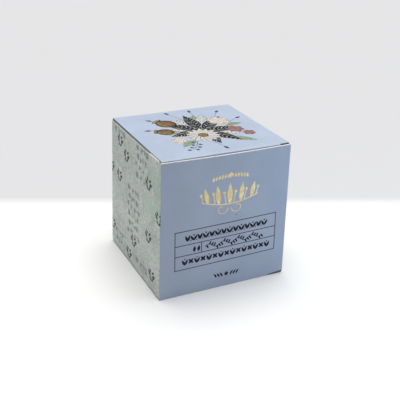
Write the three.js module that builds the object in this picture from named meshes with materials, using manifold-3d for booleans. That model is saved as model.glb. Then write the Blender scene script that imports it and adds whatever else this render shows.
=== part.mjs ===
import * as THREE from 'three';
import { mergeVertices } from 'three/addons/utils/BufferGeometryUtils.js';
import Module from 'manifold-3d';

// A shut tea carton of printed folding board, in millimetres.
// +Z is up, the front panel faces -Y, and the origin lies on the floor under the carton's middle.
// Four walls stand between two tuck ends. The lid hinges at the back and its flap tucks in
// behind the front panel, and the bottom is shut the same way.

// The walls
const WIDTH = 76; // across the front panel, at the lid
const DEPTH = 72.5; // front to back, at the lid
const HEIGHT = 80; // floor to the top of the lid
const BOARD = 0.5; // thickness of the board
const FOOT_SPREAD = 2; // how much wider the carton stands at its foot than at its lid
const WALL_CROWN = 0.35; // how far the contents bow out the middle of each wall
const CREASE_RADIUS = 0.8; // outside radius of a folded edge
const SEAM_SETBACK = 0.9; // from the back wall to the cut end of the side panel glued over it
const FRONT_EDGE_DROP = 0.45; // from the top of the lid to the cut edge of the front panel
const FRONT_EDGE_LIFT = 0.08; // from the floor to the lower cut edge of the front panel
const END_ZONE = 4; // how much of the walls stays straight at the lid and at the foot

// The tuck ends
const LID_INSET = 0.7; // from a side wall to the cut side of the lid
const HINGE_INSET = 0.06; // the ridge where the lid folds off the back wall
const END_DEPTH = 3; // how far a tuck end reaches into the walls
const TUCK_GAP = 0.25; // between the front panel and the flap tucked in behind it
const TUCK_GAP_DEPTH = 1.8;
const SLIT_LENGTH = 5.6; // the slit that locks each dust flap at an end of the tuck crease

// Each end's own fit: the lid's height over its dust flaps, its folds and its slits' widths
const LID_FIT = { rise: 0.85, foldRadius: 0.8, leftSlit: 0.8, rightSlit: 1.1 };
const FOOT_FIT = { rise: 0.5, foldRadius: 0.45, leftSlit: 0.6, rightSlit: 0.6 };

// Wear: two lower corners are knocked blunt, and one end of the front panel has sprung
// up off the floor
const BACK_KNOCK = 3; // how far from the corner the blunt patch reaches along each edge
const FRONT_KNOCK = 1.9;
const KNOCK_CUBE = 1.6; // side of the cube that a blunt patch is cut from, to its reach
const SPRUNG_LENGTH = 11;
const SPRUNG_HEIGHT = 0.6;
const SPRUNG_DEPTH = 1.1;

// How finely curved stretches are faceted
const WALL_STEPS = 12;
const HEIGHT_STEPS = 14;
const CREASE_STEPS = 4;
const BALL_STEPS = 32;

const GRID = 1024; // vertex positions to a millimetre
const SAME_PLACE = 0.25 / GRID; // vertices closer than this are one
const CLEAR = 2; // how far a cutting block reaches out past the board
const HALF_WIDTH = WIDTH / 2;
const HALF_DEPTH = DEPTH / 2;
const PANEL_BACK = -HALF_DEPTH + BOARD; // the inner face of the front panel
const FOOT_SCALE = 1 + FOOT_SPREAD / WIDTH;

const axisX = new THREE.Vector3(1, 0, 0);
const axisY = new THREE.Vector3(0, 1, 0);
const axisZ = new THREE.Vector3(0, 0, 1);
const sideToSide = new THREE.Matrix4().makeBasis(axisY, axisZ, axisX);
const backToFront = new THREE.Matrix4().makeBasis(axisX, axisZ, axisY.clone().negate());

const wasm = await Module();
wasm.setup();

function prism(shape, length, basis, steps) {
  const settings = { depth: length, steps, bevelEnabled: false, curveSegments: CREASE_STEPS };
  return new THREE.ExtrudeGeometry(shape, settings).applyMatrix4(basis);
}

// Vertices lie on a fine grid, so that faces drawn to meet do meet
function onGrid(value) {
  return Math.round(value * GRID) / GRID;
}

function solid(geometry) {
  const bare = geometry.clone();
  bare.deleteAttribute('normal');
  bare.deleteAttribute('uv');
  bare.attributes.position.array.forEach((value, i, array) => {
    array[i] = onGrid(value);
  });
  const merged = mergeVertices(bare, SAME_PLACE);
  const vertProperties = new Float32Array(merged.attributes.position.array);
  const triVerts = new Uint32Array(merged.index.array);
  return new wasm.Manifold(new wasm.Mesh({ numProp: 3, vertProperties, triVerts }));
}

function lineInSteps(shape, x1, y1) {
  const from = shape.currentPoint.clone();
  for (let i = 1; i <= WALL_STEPS; i += 1) {
    const t = i / WALL_STEPS;
    shape.lineTo(from.x + (x1 - from.x) * t, from.y + (y1 - from.y) * t);
  }
}

// The outline of the four walls from above, anticlockwise from the front left crease.
// The right-hand panel is glued over a flap of the back panel and ends in a cut edge.
function wallOutline() {
  const r = CREASE_RADIUS;
  const seam = HALF_WIDTH - BOARD;
  const shape = new THREE.Shape();
  shape.moveTo(-HALF_WIDTH + r, -HALF_DEPTH);
  lineInSteps(shape, HALF_WIDTH - r, -HALF_DEPTH);
  shape.absarc(HALF_WIDTH - r, -HALF_DEPTH + r, r, -Math.PI / 2, 0);
  lineInSteps(shape, HALF_WIDTH, HALF_DEPTH - SEAM_SETBACK);
  shape.lineTo(seam, HALF_DEPTH - SEAM_SETBACK);
  shape.absarc(seam - r, HALF_DEPTH - r, r, 0, Math.PI / 2);
  lineInSteps(shape, -HALF_WIDTH + r, HALF_DEPTH);
  shape.absarc(-HALF_WIDTH + r, HALF_DEPTH - r, r, Math.PI / 2, Math.PI);
  lineInSteps(shape, -HALF_WIDTH, -HALF_DEPTH + r);
  shape.absarc(-HALF_WIDTH + r, -HALF_DEPTH + r, r, Math.PI, Math.PI * 1.5);
  return shape;
}

// Widens the walls towards the foot and bows them out between their edges
function settle(geometry) {
  const points = geometry.attributes.position;
  for (let i = 0; i < points.count; i += 1) {
    const x = points.getX(i);
    const y = points.getY(i);
    const rise = THREE.MathUtils.inverseLerp(END_ZONE, HEIGHT - END_ZONE, points.getZ(i));
    const up = THREE.MathUtils.clamp(rise, 0, 1);
    const spread = THREE.MathUtils.lerp(FOOT_SCALE, 1, up);
    const bow = WALL_CROWN * 4 * up * (1 - up);
    const across = x / HALF_WIDTH;
    const along = y / HALF_DEPTH;
    points.setX(i, x * spread + across * bow * (1 - along * along));
    points.setY(i, y * spread + along * bow * (1 - across * across));
  }
  return geometry;
}

function walls() {
  const bottom = FRONT_EDGE_LIFT;
  const top = HEIGHT - FRONT_EDGE_DROP;
  const rings = HEIGHT_STEPS + 2;
  const geometry = prism(wallOutline(), rings, new THREE.Matrix4(), rings);
  const points = geometry.attributes.position;
  for (let i = 0; i < points.count; i += 1) {
    const ring = Math.round(points.getZ(i));
    const up = (ring - 1) / HEIGHT_STEPS;
    const between = THREE.MathUtils.lerp(END_ZONE, HEIGHT - END_ZONE, up);
    points.setZ(i, ring === 0 ? bottom : ring === rings ? top : between);
  }
  return settle(geometry);
}

// What follows is drawn for the lid, with z = 0 at its top, and turned over for the bottom.

// Cuts the walls down to the dust flaps, which fold in from the side panels at round creases
function flapCutter(flapLevel) {
  const r = CREASE_RADIUS;
  const out = HALF_WIDTH + CLEAR;
  const shape = new THREE.Shape();
  shape.moveTo(-out, flapLevel - r);
  shape.lineTo(-HALF_WIDTH, flapLevel - r);
  shape.absarc(-HALF_WIDTH + r, flapLevel - r, r, Math.PI, Math.PI / 2, true);
  shape.lineTo(HALF_WIDTH - r, flapLevel);
  shape.absarc(HALF_WIDTH - r, flapLevel - r, r, Math.PI / 2, 0, true);
  shape.lineTo(out, flapLevel - r);
  shape.lineTo(out, CLEAR);
  shape.lineTo(-out, CLEAR);
  const back = HALF_DEPTH + CLEAR;
  return prism(shape, back - PANEL_BACK, backToFront, 1).translate(0, back, 0);
}

// The lid: hinged at the back, flat on top, and folded down at the front into its tucked flap
function lidBlock(r) {
  const front = PANEL_BACK + TUCK_GAP;
  const back = HALF_DEPTH - HINGE_INSET;
  const shape = new THREE.Shape();
  shape.moveTo(front, -END_DEPTH);
  shape.lineTo(back, -END_DEPTH);
  shape.lineTo(back, -r);
  shape.absarc(back - r, -r, r, 0, Math.PI / 2);
  shape.lineTo(front + r, 0);
  shape.absarc(front + r, -r, r, Math.PI / 2, Math.PI);
  const wide = WIDTH - 2 * LID_INSET;
  return prism(shape, wide, sideToSide, 1).translate(-wide / 2, 0, 0);
}

// The gap between the front panel and the tucked flap, wider at the slit at each end
function tuckGapCutter(leftSlit, rightSlit) {
  const outer = HALF_WIDTH - CREASE_RADIUS;
  const inner = HALF_WIDTH - LID_INSET - SLIT_LENGTH;
  const shape = new THREE.Shape();
  shape.moveTo(-outer, PANEL_BACK);
  shape.lineTo(outer, PANEL_BACK);
  shape.lineTo(outer, PANEL_BACK + rightSlit);
  shape.lineTo(inner, PANEL_BACK + rightSlit);
  shape.lineTo(inner, PANEL_BACK + TUCK_GAP);
  shape.lineTo(-inner, PANEL_BACK + TUCK_GAP);
  shape.lineTo(-inner, PANEL_BACK + leftSlit);
  shape.lineTo(-outer, PANEL_BACK + leftSlit);
  const geometry = prism(shape, TUCK_GAP_DEPTH + CLEAR, new THREE.Matrix4(), 1);
  return geometry.translate(0, 0, -TUCK_GAP_DEPTH);
}

function placeOnTop(geometry) {
  return geometry.translate(0, 0, HEIGHT);
}

function placeBelow(geometry) {
  return geometry.rotateY(Math.PI).scale(FOOT_SCALE, FOOT_SCALE, 1);
}

function closeEnd(body, fit, place) {
  return body
    .subtract(solid(place(flapCutter(-fit.rise))))
    .add(solid(place(lidBlock(fit.foldRadius))))
    .subtract(solid(place(tuckGapCutter(fit.leftSlit, fit.rightSlit))));
}

// Knocks a corner of the foot blunt: what goes is a cube of board less a ball.
// sideX and sideY are -1 or 1 and say which corner.
function knockedCorner(sideX, sideY, reach) {
  const cube = reach * KNOCK_CUBE;
  const x = sideX * FOOT_SCALE * HALF_WIDTH;
  const y = sideY * FOOT_SCALE * HALF_DEPTH;
  const ballRadius = Math.hypot(cube - reach, cube, cube);
  const ball = new THREE.SphereGeometry(ballRadius, BALL_STEPS, BALL_STEPS / 2);
  ball.rotateX(Math.PI / 2).translate(x - sideX * cube, y - sideY * cube, cube);
  const wide = cube + CLEAR;
  const corner = new THREE.BoxGeometry(wide, wide, wide);
  corner.translate(x + sideX * (CLEAR - wide / 2), y + sideY * (CLEAR - wide / 2), cube - wide / 2);
  return solid(corner).subtract(solid(ball));
}

// The right end of the front panel's lower edge leaves a dark wedge under it
function sprungEdge() {
  const end = FOOT_SCALE * HALF_WIDTH;
  const front = FOOT_SCALE * HALF_DEPTH;
  const shape = new THREE.Shape();
  shape.moveTo(end - SPRUNG_LENGTH, -CLEAR);
  shape.lineTo(end + CLEAR, -CLEAR);
  shape.lineTo(end + CLEAR, SPRUNG_HEIGHT);
  shape.lineTo(end, SPRUNG_HEIGHT);
  shape.lineTo(end - SPRUNG_LENGTH, FRONT_EDGE_LIFT);
  const geometry = prism(shape, SPRUNG_DEPTH + CLEAR, backToFront, 1);
  return solid(geometry.translate(0, SPRUNG_DEPTH - front, 0));
}

function carton() {
  let body = solid(walls());
  body = closeEnd(body, LID_FIT, placeOnTop);
  body = closeEnd(body, FOOT_FIT, placeBelow);
  return body
    .subtract(knockedCorner(-1, 1, BACK_KNOCK))
    .subtract(knockedCorner(1, -1, FRONT_KNOCK))
    .subtract(sprungEdge());
}

function toGeometry(body) {
  const { vertProperties, triVerts } = body.getMesh();
  const geometry = new THREE.BufferGeometry();
  geometry.setAttribute('position', new THREE.BufferAttribute(vertProperties, 3));
  geometry.setIndex(new THREE.BufferAttribute(triVerts, 1));
  geometry.computeVertexNormals();
  return geometry;
}

function printedBoard() {
  return new THREE.MeshStandardMaterial({ color: 0x8fa0bf, roughness: 0.55, metalness: 0 });
}

const teaBox = new THREE.Group();
const cartonMesh = new THREE.Mesh(toGeometry(carton()), printedBoard());
cartonMesh.name = 'carton';
teaBox.add(cartonMesh);

export default teaBox;
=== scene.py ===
import math

import bmesh
import bpy
from mathutils import Matrix, Vector
from mathutils.geometry import delaunay_2d_cdt


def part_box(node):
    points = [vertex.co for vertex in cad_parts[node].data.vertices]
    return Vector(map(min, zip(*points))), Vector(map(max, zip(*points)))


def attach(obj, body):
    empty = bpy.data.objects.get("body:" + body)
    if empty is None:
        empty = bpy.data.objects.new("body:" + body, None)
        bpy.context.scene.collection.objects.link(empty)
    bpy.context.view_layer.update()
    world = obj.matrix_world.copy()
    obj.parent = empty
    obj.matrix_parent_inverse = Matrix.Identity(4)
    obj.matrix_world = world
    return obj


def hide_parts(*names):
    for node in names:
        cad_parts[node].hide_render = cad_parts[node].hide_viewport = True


# A shut tea carton of printed folding board. Each panel is cut out and printed flat, as triangles
# that follow its print and its fold lines, and is then folded and given its thickness.
# Lengths are in millimetres unless a name says otherwise. +Z is up and the front faces -Y.

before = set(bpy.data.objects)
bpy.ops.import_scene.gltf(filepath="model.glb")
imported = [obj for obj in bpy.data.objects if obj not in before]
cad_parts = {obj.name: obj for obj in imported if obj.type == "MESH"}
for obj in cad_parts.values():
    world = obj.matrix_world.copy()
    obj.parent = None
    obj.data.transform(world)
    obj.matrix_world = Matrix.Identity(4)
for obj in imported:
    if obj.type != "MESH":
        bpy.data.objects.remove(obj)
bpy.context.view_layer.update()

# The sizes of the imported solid, which the panels cover
MM = 0.001
WIDTH = 76.0
DEPTH = 72.5
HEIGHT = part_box("carton")[1].z / MM
BOARD = 0.5
FOOT_SPREAD = 2.0
WALL_CROWN = 0.35
CREASE = 0.8
SEAM_SETBACK = 0.9  # from the right panel's cut edge to the back
FRONT_EDGE_DROP = 0.45
FRONT_EDGE_LIFT = 0.08
FRONT_EDGE_SAG = 0.5  # how much lower the front panel's top edge is in its middle
END_ZONE = 4.0  # the straight stretch at a wall's foot and top
LID_INSET = 0.7
HINGE_INSET = 0.06
SLIT_LENGTH = 5.6
BACK_KNOCK = 3.0
FRONT_KNOCK = 1.9
KNOCK_CUBE = 1.6  # from a blunt corner's faces to its ball's centre, in reaches
SPRUNG_LENGTH = 11.0
SPRUNG_HEIGHT = 0.4
HALF_WIDTH = WIDTH / 2
HALF_DEPTH = DEPTH / 2
PANEL_BACK = HALF_DEPTH - BOARD
FOOT_SCALE = 1 + FOOT_SPREAD / WIDTH

# Each tuck end: the height over its dust flaps, the radius of its folds, the gap between its flap
# and the front panel, and its slits' sizes
LID_FIT = {"rise": 0.85, "fold": 0.8, "gap": 0.4,
           "left_slit": 0.4, "right_slit": 1.1, "right_length": 5.6}
FOOT_FIT = {"rise": 0.5, "fold": 0.45, "gap": 0.1,
            "left_slit": 0.6, "right_slit": 0.5, "right_length": 0.6}

# What only shows through gaps
DUST_FLAP = 9.0
TUCK_FLAP = 7.0
GLUE_FLAP = 8.0
HINGE_OVERLAP = 0.4
LEFT_NOTCH, RIGHT_NOTCH = 0.5, 2.2  # how far a dust flap is cut back at the ends of its fold
NOTCH_DEPTH = 0.3
FLAP_LIFT = 0.45  # how much nearer the lid a dust flap lies at the front than at the back
FLAP_TAPER = 3.4  # how much narrower a flap gets towards its end, on either side
GLUE_TAPER = 3.0
TUCK_TAPER = 1.0

# How finely a panel is cut, and how its edges wear
WALL_STEP = 5.0
FOLD_STEPS = 6
WEAR_REACH = 0.75  # how far wear spreads to either side of an edge
WEAR_FADE = 3.0  # and how far it takes to fade out along it
ALL_ALONG = (-100.0, 100.0)  # wear all along an edge
UNWORN = (0, 0, 0, 0)
SAME_POINT = 1e-5  # points nearer than this are one
EMPTY_AREA = 1e-6

GREEN_TINT_MIDDLE = (-HALF_WIDTH, -HALF_DEPTH, 58.0)  # where the aged paper is greenest


def srgb(red, green, blue):
    """A colour as Blender takes it, from its 0 to 255 values."""
    linear = [((c / 255 + 0.055) / 1.055) ** 2.4 for c in (red, green, blue)]
    return (*linear, 1.0)


# Materials

PERIWINKLE = srgb(153, 163, 179)
PERIWINKLE_DEEP = srgb(147, 157, 174)
BOARD_WHITE = srgb(218, 217, 214)
BOARD_SHADE = srgb(205, 200, 192)
# Painted shade: a dark board grey for cut edges that lie in a gap, standing for the shadow there
PAINTED_SHADE_EDGE = srgb(84, 88, 86)
PAINTED_SHADE_EDGE_LIGHT = srgb(122, 124, 118)
INSIDE_BOARD = srgb(176, 170, 158)
PAPER = srgb(190, 193, 186)
PAPER_LIGHT = srgb(203, 205, 198)
PAPER_FLECK = srgb(217, 216, 208)
PAPER_DARK = srgb(149, 154, 148)
PAPER_GREEN = srgb(146, 180, 160)
GHOST = srgb(110, 117, 112)


class Tree:
    """One material under construction. Its place is the object's own coordinates in millimetres."""

    def __init__(self, name):
        self.material = bpy.data.materials.new(name)
        self.material.use_nodes = True
        self.nodes = self.material.node_tree.nodes
        self.links = self.material.node_tree.links
        self.nodes.clear()
        self.shader = self.add("ShaderNodeBsdfPrincipled")
        self.add("ShaderNodeOutputMaterial", {"Surface": self.shader.outputs["BSDF"]})
        spot = self.add("ShaderNodeTexCoord").outputs["Object"]
        scale = (1 / MM, 1 / MM, 1 / MM)
        self.place = self.add("ShaderNodeMapping", {"Vector": spot, "Scale": scale}).outputs[0]

    def add(self, kind, inputs=None, **settings):
        node = self.nodes.new(kind)
        for key, value in settings.items():
            setattr(node, key, value)
        for key, value in (inputs or {}).items():
            if isinstance(value, bpy.types.NodeSocket):
                self.links.new(value, node.inputs[key])
            else:
                node.inputs[key].default_value = value
        return node

    def noise(self, size, detail=3.0, warp=0.0, stretch=(1, 1, 1), offset=0.0):
        """Cloudy noise whose blotches measure about size."""
        scale = tuple(1 / (size * s) for s in stretch)
        shift = (offset, offset, offset)
        place = self.add(
            "ShaderNodeMapping", {"Vector": self.place, "Scale": scale, "Location": shift}
        ).outputs[0]
        inputs = {"Vector": place, "Scale": 1.0, "Detail": detail, "Distortion": warp}
        return self.add("ShaderNodeTexNoise", inputs).outputs[0]

    def math(self, operation, a, b=0.0):
        return self.add("ShaderNodeMath", {0: a, 1: b}, operation=operation).outputs[0]

    def step(self, value, low, high, end=1.0):
        """0 where value is below low, rising smoothly to end where it is above high."""
        inputs = {"Value": value, "From Min": low, "From Max": high, "To Max": end}
        node = self.add("ShaderNodeMapRange", inputs, interpolation_type="SMOOTHSTEP")
        return node.outputs[0]

    def mix(self, factor, under, over):
        return self.add("ShaderNodeMixRGB", {0: factor, 1: under, 2: over}).outputs[0]

    def wear(self, low, high):
        """How far the print is worn off: strongest where the mesh's wear attribute is."""
        amount = self.add("ShaderNodeAttribute", attribute_name="wear").outputs["Fac"]
        chips = self.math("MULTIPLY", self.math("SUBTRACT", self.noise(0.9, 4), 0.5), 1.6)
        present = self.step(amount, 0.02, 0.2)
        return self.step(self.math("ADD", amount, self.math("MULTIPLY", chips, present)), low, high)

    def finish(self, colour, roughness, bumps):
        """Connects the colour, a (low, high) roughness and a list of (height, distance) bumps."""
        self.links.new(colour, self.shader.inputs["Base Color"])
        low, high = roughness
        rough = self.math("ADD", self.step(self.noise(1.3, 2, offset=7), 0.3, 0.7, high - low), low)
        self.links.new(rough, self.shader.inputs["Roughness"])
        normal = None
        for height, distance in bumps:
            inputs = {"Height": height, "Distance": distance * MM}
            if normal is not None:
                inputs["Normal"] = normal
            normal = self.add("ShaderNodeBump", inputs).outputs[0]
        self.links.new(normal, self.shader.inputs["Normal"])
        return self.material


def printed_blue():
    """Matt periwinkle ink on white board, its ink cracked where the board is folded or cut."""
    tree = Tree("printed_blue")
    colour = tree.mix(tree.step(tree.noise(22, 3), 0.35, 0.65), PERIWINKLE, PERIWINKLE_DEEP)
    colour = tree.mix(tree.step(tree.noise(0.35, 3), 0.45, 0.8, 0.16), colour, PAPER_LIGHT)
    colour = tree.mix(tree.wear(0.5, 0.95), colour, BOARD_WHITE)
    bumps = [(tree.noise(9, 1), 0.05), (tree.noise(0.3, 3), 0.006)]
    return tree.finish(colour, (0.4, 0.52), bumps)


def aged_paper(name, marked):
    """Grey-green print that looks like old paper. marked adds the faded tone of its old marks."""
    tree = Tree(name)
    colour = tree.mix(tree.step(tree.noise(11, 4), 0.35, 0.65), PAPER, PAPER_LIGHT)
    smudges = tree.step(tree.noise(6, 4, warp=0.8, offset=13), 0.5, 0.7, 0.5)
    colour = tree.mix(smudges, colour, PAPER_DARK)
    grain = tree.noise(0.9, 5, warp=0.9)
    colour = tree.mix(tree.step(grain, 0.44, 0.62, 0.8), colour, PAPER_DARK)
    colour = tree.mix(tree.step(tree.noise(0.8, 3, offset=9), 0.56, 0.68, 0.6), colour, PAPER_FLECK)
    strokes = tree.noise(3.6, 3, warp=1.6, offset=3)
    thin = tree.math("ABSOLUTE", tree.math("SUBTRACT", strokes, 0.5))
    line = tree.math("SUBTRACT", 1.0, tree.step(thin, 0.008, 0.04))
    where = tree.step(tree.noise(17, 2, offset=11), 0.44, 0.6, 0.55)
    colour = tree.mix(tree.math("MULTIPLY", line, where), colour, GHOST)
    if marked:
        colour = tree.mix(tree.step(tree.noise(2.2, 3, offset=4), 0.27, 0.55, 0.95), colour, GHOST)
    inputs = {0: tree.place, 1: GREEN_TINT_MIDDLE}
    away = tree.add("ShaderNodeVectorMath", inputs, operation="DISTANCE").outputs["Value"]
    tint = tree.math("SUBTRACT", 0.75, tree.step(away, 4.0, 26.0, 0.62))
    tint = tree.math("MULTIPLY", tint, tree.step(tree.noise(5, 3, offset=2), 0.35, 0.6))
    colour = tree.mix(tint, colour, PAPER_GREEN)
    colour = tree.mix(tree.wear(0.55, 1.0), colour, BOARD_WHITE)
    return tree.finish(colour, (0.48, 0.62), [(tree.noise(9, 1), 0.05), (grain, 0.012)])


def bare_board(name, light, dark):
    """The board's own paper: layered fibres at a cut edge, and a plain inside."""
    tree = Tree(name)
    fibres = tree.noise(0.5, 4, stretch=(3, 3, 0.35))
    colour = tree.mix(tree.step(fibres, 0.4, 0.7, 0.8), light, dark)
    return tree.finish(colour, (0.7, 0.85), [(fibres, 0.03)])


def ink(name, light, dark):
    """Offset ink that varies between two tones."""
    tree = Tree(name)
    tone = tree.step(tree.noise(1.2, 4, warp=0.4), 0.35, 0.65)
    colour = tree.mix(tone, light, dark)
    tree.shader.inputs["Specular IOR Level"].default_value = 0.2
    return tree.finish(colour, (0.4, 0.52), [(tree.noise(0.3, 3), 0.006)])


def foil(name):
    """Pale gold foil pressed on hot, slightly uneven."""
    tree = Tree(name)
    tone = tree.step(tree.noise(2.4, 3), 0.35, 0.65)
    colour = tree.mix(tone, srgb(226, 206, 156), srgb(210, 186, 134))
    tree.shader.inputs["Metallic"].default_value = 0.6
    return tree.finish(colour, (0.3, 0.42), [(tree.noise(0.6, 3), 0.01)])


def make_materials():
    pairs = {
        "ink_black": ((8, 8, 11), (18, 18, 22)),
        "ink_rule": ((58, 52, 56), (74, 68, 70)),
        # painted shadow, not ink: the dark under the front panel's sprung corner
        "ink_smudge": ((42, 44, 52), (60, 64, 74)),
        "ink_sprig": ((38, 43, 41), (60, 67, 64)),
        # painted shade, not ink: the dark along a side wall's top fold beside the lid
        "ink_crease": ((92, 97, 95), (112, 116, 112)),
        "ink_white": ((178, 177, 173), (162, 162, 159)),
        "ink_cream": ((188, 182, 172), (174, 163, 150)),
        "ink_cream_shade": ((138, 121, 107), (118, 100, 88)),
        "ink_rose": ((142, 108, 101), (122, 86, 80)),
        "ink_rose_deep": ((82, 50, 51), (68, 40, 43)),
        "ink_sage": ((134, 144, 122), (112, 126, 103)),
        "ink_sage_deep": ((66, 80, 58), (52, 64, 48)),
        "ink_teal": ((48, 74, 74), (34, 54, 58)),
        "ink_bronze": ((116, 90, 52), (88, 66, 36)),
        "ink_bronze_light": ((160, 138, 98), (138, 114, 76)),
        "ink_bronze_deep": ((44, 32, 20), (30, 22, 15)),
    }
    made = {name: ink(name, srgb(*light), srgb(*dark)) for name, (light, dark) in pairs.items()}
    made["printed_blue"] = printed_blue()
    made["aged_paper"] = aged_paper("aged_paper", False)
    made["faded_mark"] = aged_paper("faded_mark", True)
    made["raw_board"] = bare_board("raw_board", BOARD_WHITE, BOARD_SHADE)
    # Board fibres in dark grey: painted shade for the cut edges that lie in a gap
    made["shaded_edge"] = bare_board("shaded_edge", PAINTED_SHADE_EDGE, PAINTED_SHADE_EDGE_LIGHT)
    made["inside_board"] = bare_board("inside_board", INSIDE_BOARD, BOARD_SHADE)
    made["gold_foil"] = foil("gold_foil")
    return made


# Flat shapes, as lists of (across, up) points

LEAF_SKEW = 0.85  # below 1 sets a leaf's widest part nearer its foot


def leaf(length, width, bend=0.0, steps=7):
    """An almond leaf from its foot at 0, 0 to its tip at length, 0, its rib bowed by bend."""
    def edge(t, side):
        rib = bend * math.sin(math.pi * t)
        return (t * length, rib + side * width / 2 * math.sin(math.pi * t**LEAF_SKEW))

    ahead = [edge(k / steps, 1) for k in range(steps + 1)]
    return [edge(k / steps, -1) for k in range(1, steps)] + ahead[::-1]


def disc(radius, squash=1.0, steps=18):
    turns = [2 * math.pi * k / steps for k in range(steps)]
    return [(radius * math.cos(a), radius * squash * math.sin(a)) for a in turns]


def lobed(radius, lobes, depth, turn, steps=8):
    """A round outline with soft lobes, such as a rose's."""
    count = lobes * steps
    shape = []
    for k in range(count):
        angle = 2 * math.pi * k / count
        reach = radius * (1 - depth * abs(math.cos(lobes * (angle + turn) / 2)) ** 3)
        shape.append((reach * math.cos(angle), reach * math.sin(angle)))
    return shape


def spiral(x, y, radii, turns, steps):
    """Points along a spiral, from one radius and turn to another. Turns are in degrees."""
    line = []
    for k in range(steps + 1):
        t = k / steps
        angle = math.radians(turns[0] + (turns[1] - turns[0]) * t)
        reach = radii[0] + (radii[1] - radii[0]) * t
        line.append((x + reach * math.cos(angle), y + reach * math.sin(angle)))
    return line


def put(prints, x, y, turn=0.0, size=1.0, flip=False):
    """Prints, which are (ink, shape) pairs, moved to a place."""
    c, s = math.cos(math.radians(turn)), math.sin(math.radians(turn))
    side = -1 if flip else 1

    def move(point):
        across, up = point[0] * side * size, point[1] * size
        return (x + across * c - up * s, y + across * s + up * c)

    return [(name, [move(p) for p in shape]) for name, shape in prints]


def inked(name, *shapes):
    return [(name, shape) for shape in shapes]


def pen(name, line, width, start=1.0, end=1.0):
    """A pen stroke along a line as quads, its width scaled by start and end at its two ends."""
    sides = []
    last = len(line) - 1
    for k, (x, y) in enumerate(line):
        before, after = line[max(k - 1, 0)], line[min(k + 1, last)]
        way = Vector((after[0] - before[0], after[1] - before[1])).normalized()
        half = width / 2 * (start + (end - start) * k / last)
        sides.append(((x - way.y * half, y + way.x * half), (x + way.y * half, y - way.x * half)))
    return inked(name, *([a[0], b[0], b[1], a[1]] for a, b in zip(sides, sides[1:])))


def dot(name, radius, x, y, steps=8):
    return put(inked(name, disc(radius, steps=steps)), x, y)


# Motifs, drawn round or up from 0, 0

# A sprig's pairs of leaves: their feet beside and above its middle, then length, width and lean
SPRIG_PAIRS = [(0.1, -3.9, 3.3, 1.6, 44), (1.0, -1.3, 4.3, 2.2, 56), (0.5, 1.0, 3.3, 1.7, 52)]


def sprig(name):
    """Three pairs of loose leaves that open upwards."""
    prints = []
    for beside, up, length, width, lean in SPRIG_PAIRS:
        for side in (-1, 1):
            shape = inked(name, leaf(length, width, -0.2 * side))
            prints += put(shape, side * beside, up, 90 - side * lean)
    return prints


def floret(name, radius, petals):
    """A plain flower of almond petals round a dot."""
    prints = []
    for k in range(petals):
        turn = 90 + 360 * k / petals
        prints += put(inked(name, leaf(radius, radius * 0.62, steps=5)), 0, 0, turn)
    return prints + inked(name, disc(radius * 0.2, steps=8))


def leaf_pair(name, length, lean):
    """Two leaves that lean apart from one foot."""
    shape = leaf(length, length * 0.36, steps=5)
    return put(inked(name, shape), 0, 0, 90 - lean) + put(inked(name, shape), 0, 0, 90 + lean)


def engraved_leaf(body, line, length, width=8.6, cuts=9):
    """A leaf outlined in a second ink, with lines of it cut in either side of the rib."""
    prints = inked(line, leaf(length, width, steps=12))
    prints += put(inked(body, leaf(length * 0.98, width * 0.93, steps=12)), length * 0.01, 0)
    for k in range(cuts):
        t = 0.08 + 0.8 * k / (cuts - 1)
        reach = width * 0.41 * math.sin(math.pi * t**LEAF_SKEW)
        for side in (-1, 1):
            root = (t * length + 0.2, side * 0.4)
            knee = (t * length + reach * 0.35, side * reach * 0.55)
            tip = (t * length + reach * 0.9, side * reach)
            weight = 0.6 if (k + (side > 0)) % 2 else 0.3
            prints += pen(line, [root, knee, tip], weight, 1.0, 0.3)
    return prints


def plain_leaf(name, rib, length, width, bend):
    """A leaf with a rib and a few veins in a second ink."""
    prints = inked(name, leaf(length, width, bend, steps=10))
    middle = [(length * t / 8, bend * math.sin(math.pi * t / 8)) for t in range(9)]
    prints += pen(rib, middle, 0.32, 1.0, 0.4)
    for k in range(1, 5):
        t = k / 5.5
        reach = width * 0.36 * math.sin(math.pi * t)
        foot = (t * length, bend * math.sin(math.pi * t))
        for side in (-1, 1):
            tip = (foot[0] + reach * 0.9, foot[1] + side * reach)
            prints += pen(rib, [foot, tip], 0.16, 1.0, 0.5)
    return prints


def rose(petal, shade, radius):
    """A full rose: lobed rings of petals, each edged in a darker ink."""
    prints = []
    rings = 5
    for k in range(rings):
        reach = radius * (1 - k / rings)
        lobes = 6 - min(k, 3)
        turn = 0.9 * k
        prints += inked(shade, lobed(reach, lobes, 0.2, turn))
        prints += inked(petal, lobed(reach * 0.93, lobes, 0.17, turn + 0.1))
    return prints + inked(shade, disc(radius * 0.08, steps=8))


def daisy(radius, petals=15):
    """A white flower with a bronze eye, its petals outlined and creased in bronze."""
    prints = []
    for k in range(petals):
        turn = 360 * k / petals
        reach = radius * (1 if k % 2 else 0.93)
        prints += put(inked("ink_bronze", leaf(reach, radius * 0.4, 0.3)), 0, 0, turn)
        prints += put(inked("ink_white", leaf(reach * 0.97, radius * 0.35, 0.3)), 0.1, 0, turn)
        crease = [(radius * 0.3, 0.1), (radius * 0.72, 0.2)]
        prints += put(pen("ink_bronze_light", crease, 0.16, 1, 0.4), 0, 0, turn)
    prints += inked("ink_bronze_deep", disc(radius * 0.27))
    prints += inked("ink_bronze", disc(radius * 0.23))
    for ring, count in ((0.17, 11), (0.09, 6)):
        for k in range(count):
            turn = math.radians(360 * k / count)
            spot = (radius * ring * math.cos(turn), radius * ring * math.sin(turn))
            prints += dot("ink_bronze_light", radius * 0.026, *spot, steps=6)
    return prints


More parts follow.
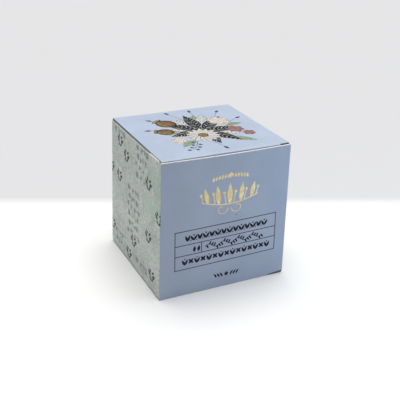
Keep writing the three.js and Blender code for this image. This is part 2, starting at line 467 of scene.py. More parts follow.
def seed_pod(radius, stem):
    """A ripe poppy pod on its stem, striped, with a crown."""
    def bowed(bow, turns):
        return [(bow * math.cos(a), radius * math.sin(a)) for a in map(math.radians, turns)]

    line = [(0.08 * stem * math.sin(math.pi * t / 8), -stem * t / 8) for t in range(9)]
    prints = pen("ink_bronze_deep", line, 0.7, 1.0, 0.7)
    prints += inked("ink_bronze_deep", disc(radius, 1.12, 24))
    prints += put(inked("ink_bronze", disc(radius * 0.88, 1.12, 24)), -radius * 0.05, 0)
    for k in range(-2, 3):
        rib = bowed(radius * 0.36 * k, range(-80, 81, 20))
        prints += pen("ink_bronze_deep", rib, radius * 0.07, 0.8, 0.8)
    for beside, weight in ((-0.5, 0.2), (-0.14, 0.1), (0.3, 0.07)):
        shine = bowed(radius * beside, range(-45, 61, 15))
        prints += pen("ink_bronze_light", shine, radius * weight, 0.3, 0.7)
    prints += put(inked("ink_bronze_deep", disc(radius * 0.72, 0.34)), 0, radius * 1.18)
    prints += put(inked("ink_bronze_light", disc(radius * 0.6, 0.24)), 0, radius * 1.22)
    for k in range(-2, 3):
        ray = [(0, 0), (radius * 0.27 * k, radius * 0.08)]
        prints += put(pen("ink_bronze_deep", ray, 0.2), 0, radius * 1.2)
    return prints


def berry_twig(length, count=7):
    """A thin twig with berries either side."""
    line = [(length * t / 10, 0.9 * math.sin(math.pi * t / 10)) for t in range(11)]
    prints = pen("ink_black", line, 0.3, 1.0, 0.5)
    for k in range(count):
        t = (k + 1) / (count + 0.4)
        foot = (length * t, 0.9 * math.sin(math.pi * t))
        side = 1 if k % 2 else -1
        tip = (foot[0] + 1.1, foot[1] + side * 1.9)
        prints += pen("ink_black", [foot, tip], 0.22)
        prints += dot("ink_teal", 1.05, *tip, steps=12)
        prints += dot("ink_white", 0.28, tip[0] - 0.3, tip[1] + 0.35, steps=6)
    return prints


# What is printed on each panel

# Places of the sprigs on a side panel, across and up from the middle of its foot
SPRIG_PLACES = [
    (-21.8, 71.8), (-11.5, 66.3), (-36.0, 51.4), (-22.5, 50.2), (20.7, 62.6), (34.4, 48.6),
    (-33.8, 14.1), (0.0, 18.4), (21.2, 32.0), (-7.5, 7.0), (26.0, 10.6),
]

# Patches of faded marks on a side panel: left, top, marks in a row, and rows
FADED_PATCHES = [(4.6, 76.8, 4, 4), (-7.0, 49.0, 4, 6), (-29.0, 76.5, 4, 1), (5.0, 8.6, 4, 1),
                 (-28.0, 12.0, 3, 2)]
FADED_PITCH = (4.4, 5.3)


def faded_marks(left, top, count, rows):
    """Rows of lobed discs and small leaves, half worn away, as of an old print."""
    prints = []
    for row in range(rows):
        for k in range(count):
            x = left + FADED_PITCH[0] * (k + 0.3 * math.sin(2.1 * row + k))
            y = top - FADED_PITCH[1] * row + 0.5 * math.sin(3.7 * k + row)
            if k % 3 == 0:
                prints += put(inked("faded_mark", lobed(2.0, 5, 0.3, k + row)), x, y)
            else:
                prints += put(inked("faded_mark", leaf(4.0, 1.9, 0.3)), x, y - 2.0, 84)
                prints += put(inked("faded_mark", leaf(2.6, 1.1, 0.2)), x + 0.6, y, 20 * (k % 2))
    return prints


def side_print(flip):
    """Small dark sprigs strewn over a side panel, over patches of faded marks."""
    prints = []
    for patch in FADED_PATCHES:
        prints += faded_marks(*patch)
    for across, up in SPRIG_PLACES:
        prints += put(sprig("ink_sprig"), across, up, -4)
    return put(prints, 0, 0, flip=flip)


RULE_WIDTH = 0.5
LABEL = {"left": -29.4, "right": 30.9, "bottom": 16.7, "top": 39.7}
LABEL_RULES = (31.4, 25.1)  # between its rows
LABEL_DIVIDER = -14.1  # across its middle row
LABEL_TURN = 0.9  # degrees out of true


def ruled_label():
    """A ruled frame of three rows, each with its own border of leaves and flowers."""
    left, right, bottom, top = LABEL.values()
    rules = [[(left, up), (right, up)] for up in (bottom, *LABEL_RULES, top)]
    rules += [[(side, bottom), (side, top)] for side in (left, right)]
    rules.append([(LABEL_DIVIDER, LABEL_RULES[1]), (LABEL_DIVIDER, LABEL_RULES[0])])
    half = RULE_WIDTH / 2
    prints = []
    for (x0, y0), (x1, y1) in rules:
        longer = half if y0 == y1 else 0
        prints += pen("ink_rule", [(x0 - longer, y0), (x1 + longer, y1)], RULE_WIDTH)
    prints += leaf_row(-22.2, 23.8, 33.4, 3.8, 14)
    for x in (-18.4, -15.9):
        prints += put(inked("ink_black", leaf(3.7, 1.7)), x, 26.2, 84)
    prints += vine_row(-12.0, 22.6, 28.0, 1.05, 8)
    return prints + flower_row(-23.7, 26.0, 19.2, 3.8, 15)


def leaf_row(start, end, foot, height, count):
    """Bold leaf pairs with a dot between the tips and another between the pairs."""
    prints = []
    pitch = (end - start) / (count - 1)
    for k in range(count):
        x = start + pitch * k
        lean = 30 if k % 2 else 20
        prints += put(leaf_pair("ink_black", height * 1.04, lean), x, foot - 0.1)
        if k % 2:
            prints += dot("ink_black", 0.5, x, foot + height * 0.86)
        if k < count - 1:
            prints += dot("ink_black", 0.4, x + pitch / 2, foot + 0.2)
    return prints


def vine_row(start, end, middle, swing, count):
    """A waving stem with small leaves."""
    steps = 8 * count
    line = []
    for k in range(steps + 1):
        t = k / steps
        line.append((start + (end - start) * t, middle + swing * math.sin(math.pi * count * t)))
    prints = pen("ink_black", line, 0.45)
    for k in range(count):
        x = start + (end - start) * (k + 0.5) / count
        side = 1 if k % 2 == 0 else -1
        small = inked("ink_black", leaf(2.6, 1.05, 0.15 * side, steps=5))
        prints += put(small, x - 1.5, middle + side * 0.6, -58 * side)
        prints += put(small, x + 0.4, middle + side * 0.5, 66 * side)
        prints += put(small, x + 1.5, middle - side * 0.1, 50 * side)
    return prints


def flower_row(start, end, foot, height, count):
    """Bold flowers in turn with leaf pairs."""
    prints = []
    for k in range(count):
        x = start + (end - start) * k / (count - 1)
        if k % 2:
            prints += put(floret("ink_black", height * 0.52, 4), x, foot + height / 2, 45)
        else:
            prints += put(leaf_pair("ink_black", height * 1.04, 24), x, foot - 0.1)
            prints += dot("ink_black", 0.42, x, foot + height * 0.95)
    return prints


def small_garland():
    """The little row of leaves under the label."""
    prints = put(floret("ink_black", 1.5, 5), 0, 0)
    for side in (-1, 1):
        small = inked("ink_black", leaf(3.5, 1.1, 0.2 * side, steps=6))
        for k in range(3):
            prints += put(small, side * (2.3 + 1.8 * k), -1.5, 90 - side * 32)
    return prints


SPECK = (5.9, 43.6)  # a stray fleck of ink on the front panel
PAINTED_SHADOW_HEIGHT = 1.5  # of the painted shadow along the foot of the front panel's sprung corner


def front_print():
    middle = ((LABEL["left"] + LABEL["right"]) / 2, (LABEL["bottom"] + LABEL["top"]) / 2)
    label = put(put(ruled_label(), -middle[0], -middle[1]), *middle, LABEL_TURN)
    prints = label + put(small_garland(), 1.6, 7.8)
    # Painted shadow: a dark wedge along the foot of the sprung corner, where it stands off the floor
    start = HALF_WIDTH - SPRUNG_LENGTH
    painted_wedge = [(start, 0), (HALF_WIDTH, 0), (HALF_WIDTH, PAINTED_SHADOW_HEIGHT)]
    painted_wedge.append((start + 2.5, PAINTED_SHADOW_HEIGHT * 0.6))
    prints += inked("ink_smudge", painted_wedge)
    return prints + dot("ink_rule", 0.3, *SPECK, steps=7)


def back_print():
    """The same label on the back, with a sprig over it."""
    prints = put(ruled_label(), 0.6, 8, size=0.96, flip=True)
    return prints + put(sprig("ink_black"), 0, 60, size=1.5)


# The lid's bouquet: each twig's turn and reach, each engraved leaf's turn about the middle and its
# length, and each sage leaf's place, turn and length
BOUQUET_MIDDLE = (2, -1)
TWIGS = [(8, 31), (34, 33), (62, 30), (88, 30), (118, 29), (150, 26), (262, 27)]
WHITE_LEAVES = [(162, 22), (114, 25), (66, 28), (20, 24), (-32, 23)]
BLACK_LEAVES = [(190, 21), (137, 24), (90, 27), (43, 27), (-6, 23), (-56, 26), (-88, 22)]
SAGE_LEAVES = [(9, -15, -36, 18), (14, 1, 6, 15), (-8, 0, 176, 15), (3, 10, 70, 15)]


def lid_print():
    """A bouquet of engraved leaves, roses, pods and a daisy.

    It is drawn with up towards the hinge, and turned over at the end to run as the lid's strip.
    """
    prints = []
    for turn, reach in TWIGS:
        line = spiral(0, 0, (3, reach), (turn, turn + 12), 10)
        prints += pen("ink_black", line, 0.4, 1.0, 0.5)
        prints += put(inked("ink_teal", leaf(4.4, 2.0)), *line[-1], turn + 20)
    for x, y, turn, length in SAGE_LEAVES:
        prints += put(plain_leaf("ink_sage", "ink_sage_deep", length, 6.4, 0.9), x, y, turn)
    prints += put(plain_leaf("ink_sage", "ink_sage_deep", 13, 5.6, -0.8), -8, -14, 214)
    inks = ("ink_white", "ink_black")
    for leaves, pair in ((WHITE_LEAVES, inks), (BLACK_LEAVES, inks[::-1])):
        for turn, length in leaves:
            prints += put(engraved_leaf(*pair, length), *BOUQUET_MIDDLE, turn)
    prints += put(seed_pod(5.6, 15), -13, 15.5, 34)
    prints += put(seed_pod(4.5, 12), -18.5, 3.5, 66)
    prints += put(berry_twig(14), -8, -15, 236)
    prints += put(rose("ink_cream", "ink_cream_shade", 6.6), 17.5, 10.5)
    prints += put(rose("ink_rose", "ink_rose_deep", 5.0), 20.5, -5.5)
    prints += put(rose("ink_rose", "ink_rose_deep", 3.8), 25, -13)
    prints += put(rose("ink_cream", "ink_cream_shade", 4.4), -16.5, -11)
    prints += put(daisy(11), -1, -8, 6)
    return [(name, [(x, -y) for x, y in shape]) for name, shape in prints]


# Folding

class Profile:
    """A section through folded board, drawn as (along, out) with its printed side up.

    moves are (length, radius) pairs: a flat stretch where radius is 0, else a fold that turns
    down through length degrees. origin is the distance that its start counts as.
    """

    def __init__(self, start, heading, moves, origin):
        self.spans = []
        self.bends = [origin]
        point, heading, distance = Vector(start), Vector(heading), origin
        for length, radius in moves:
            reach = math.radians(length) * radius if radius else length
            self.spans.append((distance, point, heading, radius))
            steps = FOLD_STEPS if radius else max(1, round(reach / WALL_STEP))
            self.bends += [distance + reach * (k + 1) / steps for k in range(steps)]
            distance += reach
            point, normal = self.at(distance)
            heading = Vector((normal.y, -normal.x))

    def at(self, distance):
        """The point at a distance, and the way out from the print there."""
        passed = [span for span in self.spans if span[0] <= distance + SAME_POINT]
        start, point, heading, radius = (passed or self.spans[:1])[-1]
        normal = Vector((-heading.y, heading.x))
        if not radius:
            return point + heading * (distance - start), normal
        centre = point - normal * radius
        turn = (distance - start) / radius
        c, s = math.cos(turn), math.sin(turn)
        normal = Vector((normal.x * c + normal.y * s, normal.y * c - normal.x * s))
        return centre + normal * radius, normal


def knocked(point, depth):
    """Keeps a point of the board inside the ball that rounds a blunt corner of the foot."""
    for side_x, side_y, reach in ((-1, 1, BACK_KNOCK), (1, -1, FRONT_KNOCK)):
        cube = reach * KNOCK_CUBE
        x = side_x * (FOOT_SCALE * HALF_WIDTH - cube)
        y = side_y * (FOOT_SCALE * HALF_DEPTH - cube)
        away = point - Vector((x, y, cube))
        limit = math.hypot(cube - reach, cube, cube) - depth
        if away.x * side_x > 0 and away.y * side_y > 0 and away.z < 0 and away.length > limit:
            return point - away + away.normalized() * limit
    return point


def settled(x, y, z, depth):
    """A point of the straight box on the carton as it stands: wider at the foot and bowed."""
    up = min(max((z - END_ZONE) / (HEIGHT - 2 * END_ZONE), 0), 1)
    spread = FOOT_SCALE + (1 - FOOT_SCALE) * up
    bow = WALL_CROWN * 4 * up * (1 - up)
    across, along = x / HALF_WIDTH, y / HALF_DEPTH
    point = Vector((
        x * spread + across * bow * (1 - along**2),
        y * spread + along * bow * (1 - across**2),
        z,
    ))
    return knocked(point, depth) * MM


def wall_folder(right, out, across, section, reach):
    """Folds a wall that faces out. Its section turns in at the top and the foot."""
    def place(u, v, depth):
        flat, flat_normal = across.at(u)
        tall, tall_normal = section.at(v)
        side = flat.x - flat_normal.x * tall_normal.y * depth
        ahead = flat.y + tall.y - reach - flat_normal.y * tall_normal.y * depth
        on_top = tall_normal.x > SAME_POINT
        lift = FLAP_LIFT * (0.5 - flat.x * right[1] / DEPTH) if on_top else 0
        z = tall.x - tall_normal.x * depth + lift * tall_normal.x
        return settled(right[0] * side + out[0] * ahead, right[1] * side + out[1] * ahead, z, depth)

    return place


def end_folder(strip, foot):
    """Folds a tuck end, whose strip runs from the hinge to the flap. foot turns it over."""
    def place(u, v, depth):
        point, normal = strip.at(v)
        y = -(point.x - normal.x * depth)
        z = point.y - normal.y * depth
        return settled(u, y, HEIGHT - z if foot else z, depth)

    return place


# Making a panel

def lay_out(outline, prints, lines, ground):
    """Cuts a flat outline into triangles along its prints and its lines.

    lines are the distances across and up at which it is cut right through. Returns the points,
    the triangles and the ink of each triangle, where a later print covers an earlier one.
    """
    points, edges, faces = [], [], []

    def add(shape):
        first = len(points)
        points.extend(Vector(p) for p in shape)
        return list(range(first, len(points)))

    inks = []
    for name, shape in [(ground, outline), *prints]:
        area = sum(a[0] * b[1] - b[0] * a[1] for a, b in zip(shape, shape[1:] + shape[:1]))
        if abs(area) > EMPTY_AREA:
            faces.append(add(shape if area > 0 else shape[::-1]))
            inks.append(name)
    low = [min(p[k] for p in outline) for k in (0, 1)]
    high = [max(p[k] for p in outline) for k in (0, 1)]
    across, up = lines
    for u in across:
        if low[0] < u < high[0]:
            edges.append(add([(u, low[1]), (u, high[1])]))
    for v in up:
        if low[1] < v < high[1]:
            edges.append(add([(low[0], v), (high[0], v)]))
    found = delaunay_2d_cdt(points, edges, faces, 1, SAME_POINT)
    spots, triangles, owners = found[0], found[2], found[5]
    kept = [(t, inks[max(o)]) for t, o in zip(triangles, owners) if 0 in o]
    return [tuple(p) for p in spots], [t for t, _ in kept], [name for _, name in kept]


def rim_edges(triangles):
    """The edges that only one triangle has, each in its triangle's own direction."""
    edges = {(t[k], t[(k + 1) % 3]) for t in triangles for k in range(3)}
    return [e for e in edges if (e[1], e[0]) not in edges]


def ordered(edges):
    """The points of a closed rim, one after the other."""
    following = dict(edges)
    start = min(following)
    loop = [start]
    while following[loop[-1]] != start:
        loop.append(following[loop[-1]])
    return loop


def worn_at(worn, u, v):
    """How worn a spot is, where worn lists (axis, edge, strength, start, end) for each edge.

    An edge is a distance across or up, or a function that gives it from the other distance.
    """
    most = 0.0
    for axis, edge, strength, start, end in worn:
        along = (v, u)[axis]
        gap = abs((u, v)[axis] - (edge(along) if callable(edge) else edge)) / WEAR_REACH
        past = max(start - along, along - end, 0) / WEAR_FADE
        most = max(most, strength * (1 - gap) * (1 - min(past, 1)))
    return most


def make_piece(name, faces, replaced=None):
    """A closed mesh from (corner points, ink, wear at each corner) faces."""
    spots, wear, polygons, names = [], [], [], []
    index = {}
    for corners, ink_name, amounts in faces:
        polygon = []
        for corner, amount in zip(corners, amounts):
            key = tuple(round(c / (SAME_POINT * MM * 10)) for c in corner)
            if key not in index:
                index[key] = len(spots)
                spots.append(corner)
                wear.append(amount)
            if index[key] not in polygon:
                polygon.append(index[key])
        if len(polygon) > 2:
            polygons.append(polygon)
            names.append(ink_name)
    mesh = bpy.data.meshes.new(name)
    mesh.from_pydata(spots, [], polygons)
    used = sorted(set(names), key=names.index)
    for ink_name in used:
        mesh.materials.append(materials[ink_name])
    mesh.polygons.foreach_set("material_index", [used.index(n) for n in names])
    mesh.attributes.new("wear", "FLOAT", "POINT").data.foreach_set("value", wear)
    shell = bmesh.new()
    shell.from_mesh(mesh)
    bmesh.ops.recalc_face_normals(shell, faces=shell.faces)
    shell.to_mesh(mesh)
    shell.free()
    mesh.shade_smooth()
    mesh.set_sharp_from_angle(angle=math.radians(35))
    piece = bpy.data.objects.new(name, mesh)
    bpy.context.scene.collection.objects.link(piece)
    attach(piece, "root")
    if replaced:
        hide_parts(replaced)


def panel(name, outline, ground, prints, lines, place, worn, painted_shade_at=math.inf):
    """A piece of board: its printed side, its bare inside, and the cut edge between them.

    The cut edges far enough to either side, as the last argument gives, lie in a gap and carry
    painted shade: a dark grey that stands for the shadow there. The others are white.
    """
    across, up = (sorted(values) for values in lines)
    for axis, edge, *_ in worn:
        if callable(edge):
            (across, up)[axis].extend(edge(0) + WEAR_REACH * k / 3 for k in range(-4, 3))
        else:
            (across, up)[axis].extend((edge - WEAR_REACH, edge + WEAR_REACH))
    points, triangles, inks = lay_out(outline, prints, (across, up), ground)
    faces = []
    for triangle, ink_name in zip(triangles, inks):
        flat = [points[k] for k in triangle]
        amounts = [worn_at(worn, *p) for p in flat]
        faces.append(([place(*p, 0.0) for p in flat], ink_name, amounts))
    rim = rim_edges(triangles)
    for a, b in rim:
        here, there = points[a], points[b]
        corners = [place(*here, 0.0), place(*there, 0.0), place(*there, BOARD), place(*here, BOARD)]
        # Cut edges in a gap get painted shade instead of white board
        in_painted_shade = min(abs(here[0]), abs(there[0])) > painted_shade_at - SAME_POINT * 10
        faces.append((corners, "shaded_edge" if in_painted_shade else "raw_board", UNWORN))
    loop = [points[k] for k in ordered(rim)]
    points, triangles, _ = lay_out(loop, [], (across, up), "inside_board")
    for triangle in triangles:
        faces.append(([place(*points[k], BOARD) for k in triangle], "inside_board", UNWORN))
    make_piece(name, faces, "carton")


CORNER_LINES = (1.6, 2.6, 3.8)  # extra cuts near the ends, which knocked corners need
HALF_FOLD = math.radians(45) * CREASE


def wall_across(half, reach):
    """Across a wall, from the middle of one crease to the middle of the next."""
    sine = CREASE * math.sqrt(0.5)
    start = (-half + CREASE - sine, reach - CREASE + sine)
    heading = (math.sqrt(0.5), math.sqrt(0.5))
    flat = 2 * (half - CREASE)
    moves = [(45, CREASE), (flat, 0), (45, CREASE)]
    return Profile(start, heading, moves, -flat / 2 - HALF_FOLD)


def straight_section():
    """Up the front or the back wall."""
    return Profile((0, HALF_DEPTH), (1, 0), [(HEIGHT, 0)], 0)


def flapped_section():
    """Up a side wall, from one dust flap over its crease and up to the other."""
    foot, top = FOOT_FIT["rise"], HEIGHT - LID_FIT["rise"]
    wall = top - foot - 2 * CREASE
    moves = [(DUST_FLAP, 0), (90, CREASE), (wall, 0), (90, CREASE), (DUST_FLAP, 0)]
    start = (foot, HALF_WIDTH - CREASE - DUST_FLAP)
    origin = foot + CREASE - math.radians(90) * CREASE - DUST_FLAP
    return Profile(start, (0, 1), moves, origin)


def near_ends(low, high):
    return [low + d for d in CORNER_LINES] + [high - d for d in CORNER_LINES]


def front_panel():
    across = wall_across(HALF_WIDTH, HALF_DEPTH)
    section = straight_section()
    left, right = across.bends[0], across.bends[-1]
    top = HEIGHT - FRONT_EDGE_DROP
    sprung = right - SPRUNG_LENGTH

    def top_edge(u):
        return top - FRONT_EDGE_SAG * (1 - (u / right) ** 2)

    outline = [(left, FRONT_EDGE_LIFT), (sprung, FRONT_EDGE_LIFT), (right, SPRUNG_HEIGHT)]
    outline += [(right * k / 10, top_edge(right * k / 10)) for k in range(10, -11, -1)]
    lines = (across.bends + near_ends(left, right), section.bends + list(CORNER_LINES))
    worn = [
        (0, left, 0.4, *ALL_ALONG), (0, right, 0.45, *ALL_ALONG),
        (1, top_edge, 1.4, *ALL_ALONG), (1, FRONT_EDGE_LIFT, 0.6, *ALL_ALONG),
    ]
    place = wall_folder((1, 0), (0, -1), across, section, HALF_DEPTH)
    panel("carton_front", outline, "printed_blue", front_print(), lines, place, worn)
    return place


LID_SCUFF = (21.0, 33.0)  # where the fold beside the lid has rubbed white


def side_panel(name, notch, flip):
    """A side wall with a dust flap at its top and its foot, each narrower than the wall.

    flip makes the right-hand one, whose cut edge is glued down over a flap of the back panel.
    """
    across = wall_across(HALF_DEPTH, HALF_WIDTH)
    section = flapped_section()
    left = across.bends[0]
    right = HALF_DEPTH - SEAM_SETBACK if flip else across.bends[-1]
    foot, top = section.bends[0], section.bends[-1]
    low, high = foot + DUST_FLAP, top - DUST_FLAP
    wall_low = low + math.radians(90) * CREASE
    wall_high = high - math.radians(90) * CREASE
    near, far = left + HALF_FOLD, right - HALF_FOLD
    outline = [
        (left, wall_low), (near, low), (near + notch, low - NOTCH_DEPTH), (near + FLAP_TAPER, foot),
        (far - FLAP_TAPER, foot), (far - notch, low - NOTCH_DEPTH), (far, low), (right, wall_low),
        (right, wall_high), (far, high), (far - notch, high + NOTCH_DEPTH), (far - FLAP_TAPER, top),
        (near + FLAP_TAPER, top), (near + notch, high + NOTCH_DEPTH), (near, high), (left, wall_high),
    ]
    lines = (across.bends + near_ends(left, right), section.bends + list(CORNER_LINES))
    middle_top, middle_low = (wall_high + high) / 2, (wall_low + low) / 2
    scuffed = sorted(-end if flip else end for end in LID_SCUFF)
    # A strip of painted shade over the upper half of the top fold beside the lid, but not where the
    # fold is rubbed white
    crease = []
    for start, end in ((left, scuffed[0]), (scuffed[1], right)):
        strip = [(start, middle_top), (end, middle_top), (end, high), (start, high)]
        crease += inked("ink_crease", strip)
    worn = [
        (0, left, 0.35, *ALL_ALONG), (0, right, 0.35, *ALL_ALONG),
        (1, middle_top, 0.78, *scuffed), (1, middle_low, 0.5, *ALL_ALONG),
    ]
    right_way, out_way = ((0, 1), (1, 0)) if flip else ((0, -1), (-1, 0))
    place = wall_folder(right_way, out_way, across, section, HALF_WIDTH)
    panel(name, outline, "aged_paper", crease + side_print(flip), lines, place, worn)


def back_panel():
    """The back panel turns the corner under the right-hand panel as a glued flap."""
    seam = HALF_WIDTH - BOARD
    flat = HALF_WIDTH + seam - 2 * CREASE
    moves = [(GLUE_FLAP, 0), (90, CREASE), (flat, 0), (45, CREASE)]
    start = (-seam, HALF_DEPTH - CREASE - GLUE_FLAP)
    origin = -seam + CREASE - math.radians(90) * CREASE - GLUE_FLAP
    across = Profile(start, (0, 1), moves, origin)
    section = straight_section()
    left, right = across.bends[0], across.bends[-1]
    foot, top = FOOT_FIT["rise"], HEIGHT - LID_FIT["rise"]
    lid_left, lid_right = -HALF_WIDTH + LID_INSET, HALF_WIDTH - LID_INSET
    outline = [
        (left, foot + GLUE_TAPER), (left + GLUE_FLAP, foot + CREASE), (lid_left, foot + CREASE),
        (lid_left, foot), (lid_right, foot), (lid_right, foot + CREASE), (right, foot + CREASE),
        (right, top - CREASE), (lid_right, top - CREASE), (lid_right, top), (lid_left, top),
        (lid_left, top - CREASE), (left + GLUE_FLAP, top - CREASE), (left, top - GLUE_TAPER),
    ]
    lines = (across.bends + near_ends(lid_left, right), section.bends + list(CORNER_LINES))
    worn = [(0, right, 0.4, *ALL_ALONG), (1, top, 0.6, *ALL_ALONG), (1, foot, 0.5, *ALL_ALONG)]
    place = wall_folder((-1, 0), (0, 1), across, section, HALF_DEPTH)
    panel("carton_back", outline, "printed_blue", back_print(), lines, place, worn)


LID_CUTS = 15  # into how many strips a tuck end is cut across


def tuck_end(name, fit, foot, prints):
    """The lid, or the bottom: hinged at the back, with a flap tucked in behind the front."""
    radius = fit["fold"]
    back, front = HALF_DEPTH - HINGE_INSET, PANEL_BACK - fit["gap"]
    rise = fit["rise"] + HINGE_OVERLAP
    flat = back + front - 2 * radius
    moves = [(rise - radius, 0), (90, radius), (flat, 0), (90, radius), (TUCK_FLAP, 0)]
    origin = -back + radius - math.radians(90) * radius - (rise - radius)
    strip = Profile((-back, HEIGHT - rise), (0, 1), moves, origin)
    start, end = strip.bends[0], strip.bends[-1]
    side = HALF_WIDTH - LID_INSET
    left_inner, right_inner = -side + SLIT_LENGTH, side - fit["right_length"]
    left_cut, right_cut = PANEL_BACK - fit["left_slit"], PANEL_BACK - fit["right_slit"]
    outline = [
        (-side, start), (side, start), (side, right_cut), (right_inner, right_cut),
        (right_inner - TUCK_TAPER, end), (left_inner + TUCK_TAPER, end),
        (left_inner, left_cut), (-side, left_cut),
    ]
    across = [-side + 2 * side * k / LID_CUTS for k in range(LID_CUTS + 1)]
    across += near_ends(-side, side)
    back_fold = start + rise - radius + math.radians(45) * radius
    worn = [(1, back_fold, 0.65, *ALL_ALONG)]
    place = end_folder(strip, foot)
    lines = (across, strip.bends + near_ends(start, end - TUCK_FLAP))
    # The side cut edges of the lid and the bottom get painted shade
    panel(name, outline, "printed_blue", prints, lines, place, worn, side)


# The gold ornament on the front panel

FOIL_RAISE = 0.035
FOIL_SINK = 0.02
FOIL_AREA = [(-20.0, 42.0), (22.0, 42.0), (22.0, 75.0), (-20.0, 75.0)]
EMBLEM_MIDDLE = 1.6
LEAFLET_ARC = 42.0
LEAFLET_TOP = 67.4
# Tall leaves, in pairs but for the middle one: beside the middle, foot, length, width and lean
TALL_LEAVES = [(0, 50.6, 12.4, 3.2, 0), (6.4, 51.2, 11.4, 2.9, 6), (12.6, 52.6, 9.4, 2.6, 14)]
STALKS = [(3.4, 6.4), (9.8, 6.0), (16.9, 4.2)]  # in pairs: beside the middle, and height
STEM_FOOT, STEM_REACH, STEM_RISE, STEM_BOW = 50.8, 17.0, 3.4, 1.8


def foil_shapes():
    """An arc of leaflets over five tall leaves on a bowed stem, and a fine scroll below."""
    gold = "gold_foil"
    prints = []
    for k in range(-6, 7):
        turn = 90 - 2.35 * k
        x = LEAFLET_ARC * math.cos(math.radians(turn))
        y = LEAFLET_TOP - LEAFLET_ARC * (1 - math.sin(math.radians(turn)))
        if k:
            lean = turn + (24 if k > 0 else -24)
            prints += put(inked(gold, leaf(2.9, 1.2, steps=6)), x, y - 1.5, lean)
        else:
            prints += put(floret(gold, 1.7, 4), x, y)
    for beside, foot, length, width, lean in TALL_LEAVES:
        for side in (-1, 1) if beside else (1,):
            shape = inked(gold, leaf(length, width, 0, 14))
            prints += put(shape, side * beside, foot, 90 - side * lean)
    for side in (-1, 1):
        stem = [(side * STEM_REACH * t / 14, STEM_FOOT + STEM_RISE * (t / 14) ** STEM_BOW)
                for t in range(15)]
        prints += pen(gold, stem, 0.7, 1.0, 0.7)
        for beside, height in STALKS:
            foot = (side * (beside - 1.2), 51.0 + 3.0 * (beside / STEM_REACH) ** STEM_BOW)
            tip = (side * beside, foot[1] + height)
            prints += pen(gold, [foot, tip], 0.5)
            prints += dot(gold, 0.85, *tip, steps=12)
        curl = spiral(side * 4.6, 48.6, (3.7, 0.8), (90 + side * 90, 90 + side * 400), 26)
        prints += pen(gold, curl, 0.45, 1.0, 0.8)
    return put(prints, EMBLEM_MIDDLE, 0)


def gold_ornament(place):
    """The foil as a thin raised relief that follows the front panel."""
    points, triangles, inks = lay_out(FOIL_AREA, foil_shapes(), ([], []), "bare")
    kept = [t for t, name in zip(triangles, inks) if name == "gold_foil"]
    faces = []
    for triangle in kept:
        flat = [points[k] for k in triangle]
        faces.append(([place(*p, -FOIL_RAISE) for p in flat], "gold_foil", UNWORN))
        faces.append(([place(*p, FOIL_SINK) for p in flat[::-1]], "gold_foil", UNWORN))
    for a, b in rim_edges(kept):
        here, there = points[a], points[b]
        top = [place(*there, -FOIL_RAISE), place(*here, -FOIL_RAISE)]
        foot = [place(*here, FOIL_SINK), place(*there, FOIL_SINK)]
        faces.append((top + foot, "gold_foil", UNWORN))
    make_piece("foil_ornament", faces)


# The stage: floor, light and camera

FLOOR_RADIUS_M = 3.0
BACKDROP_HEIGHT_M = 1.6
FLOOR_AWAY = (0.374, 0.927, 0.0)  # away from the camera, so turned that it looks level there
FLOOR_TURN = (66.0, 84.0)  # how far behind the carton the floor turns from white to grey, a painted shade for light that falls off with distance
FLOOR_FRONT_TURN = (-154.0, -131.0)  # and how far in front of it, just out of the picture
FLOOR_WHITE = srgb(207, 206, 204)
FLOOR_GREY = srgb(181, 180, 180)
ROOM_COLOUR = (0.5, 0.66, 1.0, 1.0)
ROOM_STRENGTH = 0.34


def floor():
    """A pale floor with a backdrop all round, white by the carton and light grey further away, where
    the grey is painted shade for the light falling off.
    """
    mesh = bpy.data.meshes.new("floor")
    ring = disc(FLOOR_RADIUS_M, 1, 96)
    count = len(ring)
    spots = [(x, y, z) for z in (0, BACKDROP_HEIGHT_M) for x, y in ring]
    backdrop = [[k, (k + 1) % count, count + (k + 1) % count, count + k] for k in range(count)]
    mesh.from_pydata(spots, [], [list(range(count)), *backdrop])
    tree = Tree("floor")
    inputs = {0: tree.place, 1: FLOOR_AWAY}
    away = tree.add("ShaderNodeVectorMath", inputs, operation="DOT_PRODUCT").outputs["Value"]
    colour = tree.mix(tree.step(away, *FLOOR_TURN), FLOOR_WHITE, FLOOR_GREY)
    colour = tree.mix(tree.step(away, *FLOOR_FRONT_TURN), FLOOR_GREY, colour)
    tree.shader.inputs["Specular IOR Level"].default_value = 0.0
    mesh.materials.append(tree.finish(colour, (0.75, 0.8), [(tree.noise(3, 2), 0.01)]))
    piece = bpy.data.objects.new("floor", mesh)
    bpy.context.scene.collection.objects.link(piece)


def light(name, kind, place, aim, power, **settings):
    """A lamp at a place, in metres, that shines towards another."""
    data = bpy.data.lights.new(name, kind)
    data.energy = power
    for key, value in settings.items():
        setattr(data, key, value)
    lamp = bpy.data.objects.new(name, data)
    lamp.location = place
    lamp.rotation_mode = "QUATERNION"
    lamp.rotation_quaternion = (Vector(place) - Vector(aim)).to_track_quat("Z", "Y")
    lamp.visible_camera = False
    bpy.context.scene.collection.objects.link(lamp)


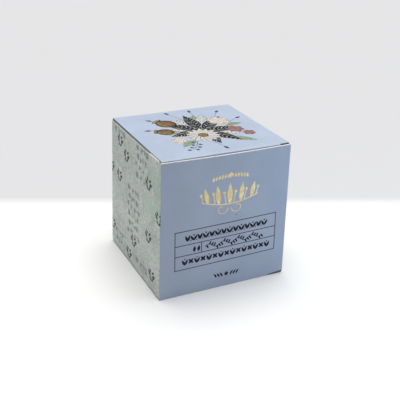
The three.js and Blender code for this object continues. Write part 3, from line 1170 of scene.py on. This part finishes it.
def studio():
    """Soft light from above, a little fill from the right, and pale blue light all round."""
    world = bpy.data.worlds.new("studio")
    world.use_nodes = True
    background = world.node_tree.nodes["Background"]
    background.inputs["Color"].default_value = ROOM_COLOUR
    background.inputs["Strength"].default_value = ROOM_STRENGTH
    bpy.context.scene.world = world
    middle = (0, 0, 0.04)
    light("overhead", "SUN", (0.03, 0.1, 1.0), middle, 4.8, angle=math.radians(58),
          color=(1.0, 0.985, 0.94))
    light("right_fill", "AREA", (0.15, -0.14, 0.015), middle, 0.125, shape="SQUARE", size=0.1,
          color=(0.26, 0.58, 1.0))
    bpy.context.scene.view_settings.view_transform = "Standard"


# The camera, as it stood for the photograph: its frame is 400 pixels wide
CAMERA_AZIMUTH = -26.764
CAMERA_ELEVATION = 25.456
CAMERA_ROLL = 2.038
CAMERA_DISTANCE = 427.25
CAMERA_AIM_RIGHT = 3.373  # where the middle of the frame looks, beside and above the origin
CAMERA_AIM_UP = 33.327
FOCAL_PIXELS = 707.54
FRAME_PIXELS = 400
SENSOR_WIDTH = 36.0


def camera():
    azimuth, elevation = math.radians(CAMERA_AZIMUTH), math.radians(CAMERA_ELEVATION)
    level = math.cos(elevation)
    back = Vector((math.sin(azimuth) * level, -math.cos(azimuth) * level, math.sin(elevation)))
    right = Vector((math.cos(azimuth), math.sin(azimuth), 0))
    axes = Matrix((right, back.cross(right), back)).transposed()
    axes = axes @ Matrix.Rotation(math.radians(CAMERA_ROLL), 3, "Z")
    lens = bpy.data.cameras.new("camera")
    lens.sensor_width = SENSOR_WIDTH
    lens.lens = SENSOR_WIDTH * FOCAL_PIXELS / FRAME_PIXELS
    lens.clip_start = 0.01
    eye = bpy.data.objects.new("camera", lens)
    place = axes @ Vector((CAMERA_AIM_RIGHT, CAMERA_AIM_UP, CAMERA_DISTANCE)) * MM
    eye.matrix_world = Matrix.Translation(place) @ axes.to_4x4()
    bpy.context.scene.collection.objects.link(eye)
    bpy.context.scene.camera = eye


camera()
studio()
floor()
materials = make_materials()
front_place = front_panel()
side_panel("carton_left", LEFT_NOTCH, False)
side_panel("carton_right", RIGHT_NOTCH, True)
back_panel()
tuck_end("carton_lid", LID_FIT, False, lid_print())
tuck_end("carton_bottom", FOOT_FIT, True, [])
gold_ornament(front_place)
